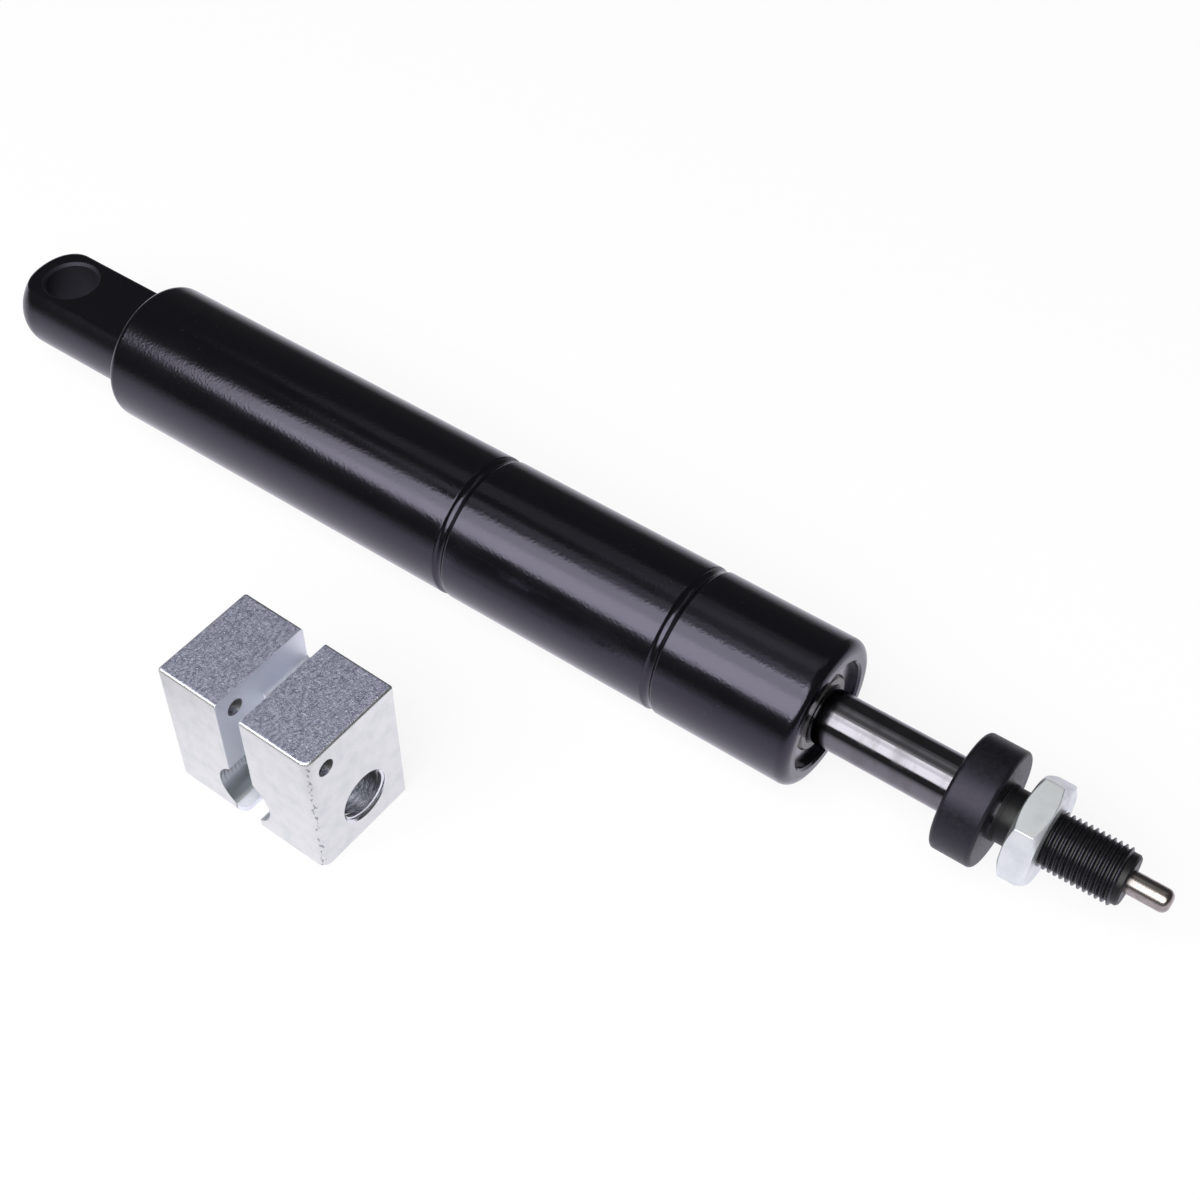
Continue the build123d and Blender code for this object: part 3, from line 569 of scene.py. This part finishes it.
def makeHead(name, values):
    material, tree, shader = newMaterial(name)
    angle = math.radians(-values["turn"])
    corner = Matrix.Rotation(angle, 3, "Z") @ Vector(values["corner"])
    perMetre = (1 / mm, 1 / mm, 1 / mm)
    point = objectPoint(tree, scale=perMetre, turn=(0, 0, angle), shift=-corner)
    across, back, up = axes(tree, point)
    isTop, inSlot, inBore, inHole = headMasks(tree, values, across, back, up)
    cloud = noise(tree, point, *values["cloud"])
    grain = noise(tree, point, *values["grain"])
    coarse = noise(tree, moved(tree, point, scale=values["coarseStretch"]), *values["coarse"])

    side = mix(tree, ramp(tree, cloud, *values["cloudRange"]), values["side"], values["sideDull"])
    # painted light in the slot
    side = mix(tree, inSlot, side, values["slotWallPaintedLight"])
    # painted shade in the lever bore above the lip, partly the drilled metal's own dullness
    drilledAndPaintedShade = maths(tree, "MULTIPLY", inBore, ramp(tree, up, *values["paintedBoreShadeHeight"]))
    side = mix(tree, drilledAndPaintedShade, side, values["drilledAndPaintedShade"])
    # painted light in the threaded hole
    side = mix(tree, inHole, side, values["holeWallPaintedLight"])
    coarseShare = ramp(tree, coarse, *values["coarseRange"])
    ground = mix(tree, coarseShare, values["ground"], values["groundLight"])
    ground = mix(tree, ramp(tree, grain, *values["grainRange"]), ground, values["scratchAndHighlight"])
    colour = mix(tree, isTop, side, ground)

    marks = maths(tree, "MAXIMUM", *(
        scratches(tree, point, scratchLook, **line) for line in values["scratches"]))
    marks = maths(tree, "MULTIPLY", marks, values["scratchShare"])
    marks = maths(tree, "MULTIPLY", marks, isTop)
    colour = mix(tree, marks, colour, values["scratchAndHighlight"])

    toEdge = offAxis(tree, across, back, *values["pittedEdge"])
    pitNoise = noise(tree, moved(tree, point, scale=values["pitStretch"]), *values["pits"])
    pastLimit = maths(tree, "SUBTRACT", pitNoise, ramp(tree, toEdge, *values["pitLimit"]))
    pits = ramp(tree, pastLimit, 0.0, values["pitFade"])
    colour = mix(tree, pits, colour, values["pit"])

    # painted highlight on the drill's rings, in the bore's upper part, in the scratches' colour
    wander = maths(tree, "ADD", back, maths(tree, "MULTIPLY", cloud, values["ringWander"]))
    rings = maths(tree, "SINE", maths(tree, "MULTIPLY", wander, values["ringTurns"]))
    ringShare = maths(tree, "MULTIPLY", inBore, ramp(tree, up, *values["ringHeight"]))
    ringLight = maths(tree, "MULTIPLY", ringShare, ramp(tree, rings, *values["ringRange"]))
    colour = mix(tree, ringLight, colour, values["scratchAndHighlight"])
    rings = maths(tree, "MULTIPLY", rings, ringShare)
    tree.links.new(colour, shader.inputs["Base Color"])

    shader.inputs["Metallic"].default_value = 1.0
    slotRough = maths(tree, "MULTIPLY", inSlot, values["slotRough"])
    sideRough = maths(tree, "ADD", ramp(tree, cloud, *values["sideRough"]), slotRough)
    tappedRough = maths(tree, "MULTIPLY", inHole, values["tappedRough"])
    sideRough = maths(tree, "SUBTRACT", sideRough, tappedRough)
    topRough = ramp(tree, grain, *values["topRough"])
    rough = mix(tree, isTop, sideRough, topRough, "FLOAT")
    tree.links.new(rough, shader.inputs["Roughness"])

    waves = maths(tree, "ADD", cloud, maths(tree, "MULTIPLY", rings, values["ringDepth"]))
    first = bump(tree, shader, waves, values["cloudDepth"] * mm, values["cloudStrength"])
    sparkle = maths(tree, "MULTIPLY", grain, ramp(tree, isTop, 0, 1, values["grainOnSides"], 1.0))
    second = bump(tree, shader, sparkle, values["grainDepth"] * mm, values["grainStrength"], first)
    raised = maths(tree, "MULTIPLY", marks, values["scratchHeight"])
    dents = maths(tree, "ADD", maths(tree, "MULTIPLY", pits, -1.0), raised)
    bump(tree, shader, dents, values["dentDepth"] * mm, values["dentStrength"], second)
    return material


finishOf = {name: makeFinish(name, values, finishGrain) for name, values in finishes.items()}
headFinish = makeHead("zinc plate", head)
nodeFinishes = {
    "bump_collar": "collarRubber",
    "jam_nut": "nutZinc",
    "release_pin": "pinNickel",
    "guide_cap": "capSteelPaintedShade",
    "support_ring": "capZinc",
    "seal_backup_washer": "capZinc",
    "rod_wiper": "wiperPolymerPaintedShade",
    "piston_body": "pistonAluminium",
    "piston_end_cap": "pistonAluminium",
    "separating_piston": "pistonAluminium",
    "valve_seat": "valveBrass",
    "valve_tappet": "tappetSteel",
    "piston_seal_ring": "ringPolymer",
    "rod_guide": "guidePolymer",
    "end_plug_oring": "sealRubber",
    "separator_oring_gas": "sealRubber",
    "separator_oring_oil": "sealRubber",
    "stem_oring": "sealRubber",
    "piston_oring": "sealRubber",
    "tappet_oring": "sealRubber",
    "rod_lip_seal": "sealRubber",
    "guide_oring": "sealRubber",
}
for nodeName, finishName in nodeFinishes.items():
    dress(nodeName, finishOf[finishName])
dress("pressure_tube", makePaint("gloss black paint", paint))
dress("end_eye", makePaint("gloss black paint of the eye", paint, paint["eyeExtra"], True))
dress("piston_rod", makeRod("dark chrome", rod))
dress("release_head", headFinish)
print("finishes made")


# external thread: one ridge wound round the rod's threaded end

thread = {
    "pitch": 1.0,            # all in mm, along the rod from the eye's bore
    "start": 208.7,
    "end": 227.2,
    "rootRadius": 4.3866,
    "crestRadius": 4.93,
    "sunk": 0.06,            # the ridge starts below the solid's surface
    "crestFlat": 0.16,
    "rootFlat": 0.84,
    "endCone": 1.2,          # length of the chamfer at the end
    "endRadius": 4.25,
    "steps": 48,
    "smoothAngle": 30,       # degrees
}


def addThread(name, values, material, body):
    first = (values["start"] + values["pitch"] / 2) * mm
    low = (values["rootRadius"] - values["sunk"]) * mm
    high = values["crestRadius"] * mm
    foot = (values["rootFlat"] * mm / 2, low)
    top = (values["crestFlat"] * mm / 2, high)
    turns = int((values["end"] - values["start"]) / values["pitch"]) - 1
    ridge = windProfile(name, values, first, foot, top, turns)
    # the end is chamfered: the ridge is pressed into a cone
    coneStart = (values["end"] - values["endCone"]) * mm
    for vertex in ridge.data.vertices:
        radius = math.hypot(vertex.co.y, vertex.co.z)
        past = max(0.0, (vertex.co.x - coneStart) / (values["endCone"] * mm))
        limit = high + (values["endRadius"] * mm - high) * past
        if radius > limit:
            vertex.co.y *= limit / radius
            vertex.co.z *= limit / radius
    bpy.ops.object.mode_set(mode="EDIT")
    bpy.ops.mesh.select_all(action="SELECT")
    bpy.ops.mesh.normals_make_consistent(inside=False)
    bpy.ops.object.mode_set(mode="OBJECT")
    bpy.ops.object.shade_smooth_by_angle(angle=math.radians(values["smoothAngle"]))
    ridge.data.materials.append(material)
    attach(ridge, body)
    return ridge


addThread("rod_thread_ridge", thread, finishOf["threadBlack"], "rod")
print("thread wound")


# internal thread: a wound profile cuts its groove into a copy of the release head

holeThread = {
    "pitch": 1.0,            # all in mm, along the hole from the block's nearest lower corner
    "start": 16.8,
    "turns": 17,
    "wallRadius": 4.4587,
    "sunk": 0.08,            # the cutter starts inside the hole's wall
    "rootRadius": 4.86,
    "mouthFlat": 0.7,
    "rootFlat": 0.2,
    "steps": 40,
    "merge": 0.0001,
    "smoothAngle": 30,       # degrees
}


def addThreadedHead(name, values, block, body, replaced):
    piece = copyNode(name, replaced, copied)
    low = (values["wallRadius"] - values["sunk"]) * mm
    foot = (values["mouthFlat"] * mm / 2, low)
    top = (values["rootFlat"] * mm / 2, values["rootRadius"] * mm)
    cutter = windProfile("cutter", values, values["start"] * mm, foot, top, values["turns"])
    # close the cutter's two ends
    bpy.ops.object.mode_set(mode="EDIT")
    bpy.ops.mesh.select_all(action="SELECT")
    bpy.ops.mesh.remove_doubles(threshold=values["merge"] * mm)
    bpy.ops.mesh.select_all(action="DESELECT")
    bpy.ops.mesh.select_non_manifold(
        extend=False, use_wire=False, use_multi_face=False, use_non_contiguous=False,
        use_verts=False)
    bpy.ops.mesh.fill()
    bpy.ops.mesh.select_all(action="SELECT")
    bpy.ops.mesh.normals_make_consistent(inside=False)
    bpy.ops.object.mode_set(mode="OBJECT")
    back, up = block["tappedPlace"]
    placeInBlock(cutter, block, (0, back * mm, up * mm))
    cutAway(piece, cutter)
    smoothPiece(piece, values["smoothAngle"])
    print(name, "has", len(piece.data.polygons), "faces")
    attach(piece, body)
    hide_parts(replaced)
    return piece


addThreadedHead("release_head_threaded", holeThread, head, "cylinder", "release_head")
print("hole threaded")


# lip under the lever bore, on the far side of the gap from the threaded hole

lip = {
    "start": 12.2,           # mm, from the block's nearest lower corner
    "end": 14.3,
    "length": 9.8,
    "height": 2.2,
    "corner": 1.7,           # rounding of its front corner
    "cornerSteps": 10,
    "bottomEdge": 0.35,
    "bottomSteps": 3,
    "boreSteps": 160,
    "near": 0.01,            # an edge this close to a face lies on it
    "smoothAngle": 35,       # degrees
}


def addLip(name, values, block, body, material):
    start = values["start"] * mm
    end = values["end"] * mm
    length = values["length"] * mm
    height = values["height"] * mm
    near = values["near"] * mm
    bpy.ops.object.select_all(action="DESELECT")
    bpy.ops.mesh.primitive_cube_add(size=1, location=(0, 0, 0))
    piece = bpy.context.object
    piece.name = name
    piece.data.materials.append(material)
    for vertex in piece.data.vertices:
        x, y, z = (value + 0.5 for value in vertex.co)
        vertex.co = (start + x * (end - start), y * length, z * height)

    def frontCorner(ends):
        return all(spot.x > end - near and spot.y < near for spot in ends)

    def bottomEdge(ends):
        low = all(spot.z < near for spot in ends)
        outside = all(spot.x > start + near or spot.y < near for spot in ends)
        atBack = all(spot.y > length - near for spot in ends)
        return low and outside and not atBack

    bevelEdges(piece, frontCorner, values["corner"], values["cornerSteps"])
    bevelEdges(piece, bottomEdge, values["bottomEdge"], values["bottomSteps"])
    bpy.ops.object.select_all(action="DESELECT")
    bpy.ops.mesh.primitive_cylinder_add(
        vertices=values["boreSteps"], radius=block["boreRadius"] * mm, depth=4 * length,
        location=(block["boreSide"] * mm, 0, block["boreHeight"] * mm),
        rotation=(math.pi / 2, 0, 0))
    cutAway(piece, bpy.context.object)
    placeInBlock(piece, block)
    smoothPiece(piece, values["smoothAngle"])
    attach(piece, body)
    return piece


addLip("release_head_lip", lip, head, "cylinder", headFinish)
print("lip added")


# jam nut: the CAD nut with its edges broken

nut = {
    "edge": 0.22,            # mm
    "steps": 3,
    "edgeAngle": 20,         # only edges sharper than this, degrees
    "smoothAngle": 40,       # degrees
}


def addNut(name, values, body, replaced):
    piece = copyNode(name, replaced, copied)
    applyModifier(
        piece, "edges", "BEVEL", width=values["edge"] * mm, segments=values["steps"],
        limit_method="ANGLE", angle_limit=math.radians(values["edgeAngle"]))
    smoothPiece(piece, values["smoothAngle"])
    print(name, "has", len(piece.data.polygons), "faces")
    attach(piece, body)
    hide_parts(replaced)
    return piece


addNut("jam_nut_edges", nut, nodes["jam_nut"]["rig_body"], "jam_nut")
print("nut edged")


# floor, backdrop and lamps

stage = {
    "floorSize": 20.0,
    "floorGap": 0.05,        # the floor lies this far below the tube, mm
    "floorShare": 0.88,      # how much of the floor is its own white, past its shadow
    "floorColour": (0.92, 0.92, 0.92, 1),
    "floorRough": 0.9,
    "glowColour": (0.93, 0.9, 1.0, 1),
    "glow": (1.12, 0.4, 0.11),       # the floor's painted glow that shiny surfaces see: near, middle, far
    "glowReach": (0.025, 0.13, 0.4),         # distance from the spring's axis, m
    "blockPlace": (0.103, -0.056),
    "blockReach": (0.03, 0.075),
    "roomLight": 0.08,       # the world lights the object a little, and is white to the camera
}

lampAim = (0.1, 0, 0)
lamps = {
    "softbox": {"place": (0.17, -0.93, 1.17), "size": (2.6, 1.5), "power": 34.0},
    "softboxCore": {"place": (0.1, -1.06, 0.98), "size": (2.0, 0.7), "power": 4.5},
    "ceiling": {"place": (-0.1, -0.05, 1.5), "size": (1.6, 0.6), "power": 0.6},
    "ceilingBack": {"place": (-0.1, 0.64, 1.4), "size": (1.7, 0.62), "power": 0.6},
    "ceilingFront": {"place": (0.0, -0.36, 1.45), "size": (1.7, 0.42), "power": 0.95},
}


def paintedFloorGlow(tree, values):
    # a painted pool of light: shiny surfaces see the floor glow brightest near the spring and the
    # block, and darker away from them
    across, back, _ = axes(tree, objectPoint(tree))
    near, middle, far = values["glowReach"]
    nearGlow, middleGlow, farGlow = values["glow"]
    away = maths(tree, "ABSOLUTE", back)
    glow = maths(tree, "MULTIPLY",
                 ramp(tree, away, near, middle, nearGlow, middleGlow),
                 ramp(tree, away, middle, far, 1.0, farGlow / middleGlow))
    fromBlock = offAxis(tree, across, back, *values["blockPlace"])
    return maths(tree, "MAXIMUM", glow, ramp(tree, fromBlock, *values["blockReach"], 1.0, 0.0))


def addFloor(values):
    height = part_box("pressure_tube")[0][2] - values["floorGap"] * mm
    bpy.ops.object.select_all(action="DESELECT")
    bpy.ops.mesh.primitive_plane_add(size=values["floorSize"], location=(0, 0, height))
    floor = bpy.context.object
    floor.name = "floor"
    material, tree, shader = newMaterial("pale floor")
    shader.inputs["Base Color"].default_value = values["floorColour"]
    shader.inputs["Roughness"].default_value = values["floorRough"]
    path = addNode(tree, "ShaderNodeLightPath").outputs
    glossy = maths(tree, "MAXIMUM", path["Is Glossy Ray"], path["Is Transmission Ray"])
    seen = maths(tree, "MAXIMUM", path["Is Camera Ray"], glossy)
    share = maths(tree, "MULTIPLY", seen, values["floorShare"])
    glow = maths(tree, "MULTIPLY", glossy, paintedFloorGlow(tree, values))
    strength = maths(tree, "ADD", glow, maths(tree, "SUBTRACT", 1.0, glossy))
    # the painted glow leans to violet in reflections
    hue = mix(tree, glossy, white, values["glowColour"])
    light = addNode(tree, "ShaderNodeEmission", {"Color": hue, "Strength": strength})
    both = addNode(tree, "ShaderNodeMixShader", {
        0: share, 1: shader.outputs[0], 2: light.outputs[0]})
    tree.links.new(both.outputs[0], tree.nodes["Material Output"].inputs["Surface"])
    floor.data.materials.append(material)


def addLamp(name, values, aim):
    bpy.ops.object.light_add(type="AREA", location=values["place"])
    lamp = bpy.context.object
    lamp.name = name
    lamp.data.shape = "ELLIPSE"
    lamp.data.size, lamp.data.size_y = values["size"]
    lamp.data.energy = values["power"]
    towards = Vector(aim) - Vector(values["place"])
    lamp.rotation_euler = towards.to_track_quat("-Z", "Y").to_euler()


def addWorld(values):
    world = bpy.data.worlds.new("room")
    bpy.context.scene.world = world
    world.use_nodes = True
    tree = world.node_tree
    background = tree.nodes["Background"]
    background.inputs["Color"].default_value = white
    path = addNode(tree, "ShaderNodeLightPath").outputs
    strength = ramp(tree, path["Is Camera Ray"], 0, 1, values["roomLight"], 1.0)
    tree.links.new(strength, background.inputs["Strength"])


addFloor(stage)
for lampName, lampValues in lamps.items():
    addLamp(lampName, lampValues, lampAim)
addWorld(stage)
print("stage and lamps set")
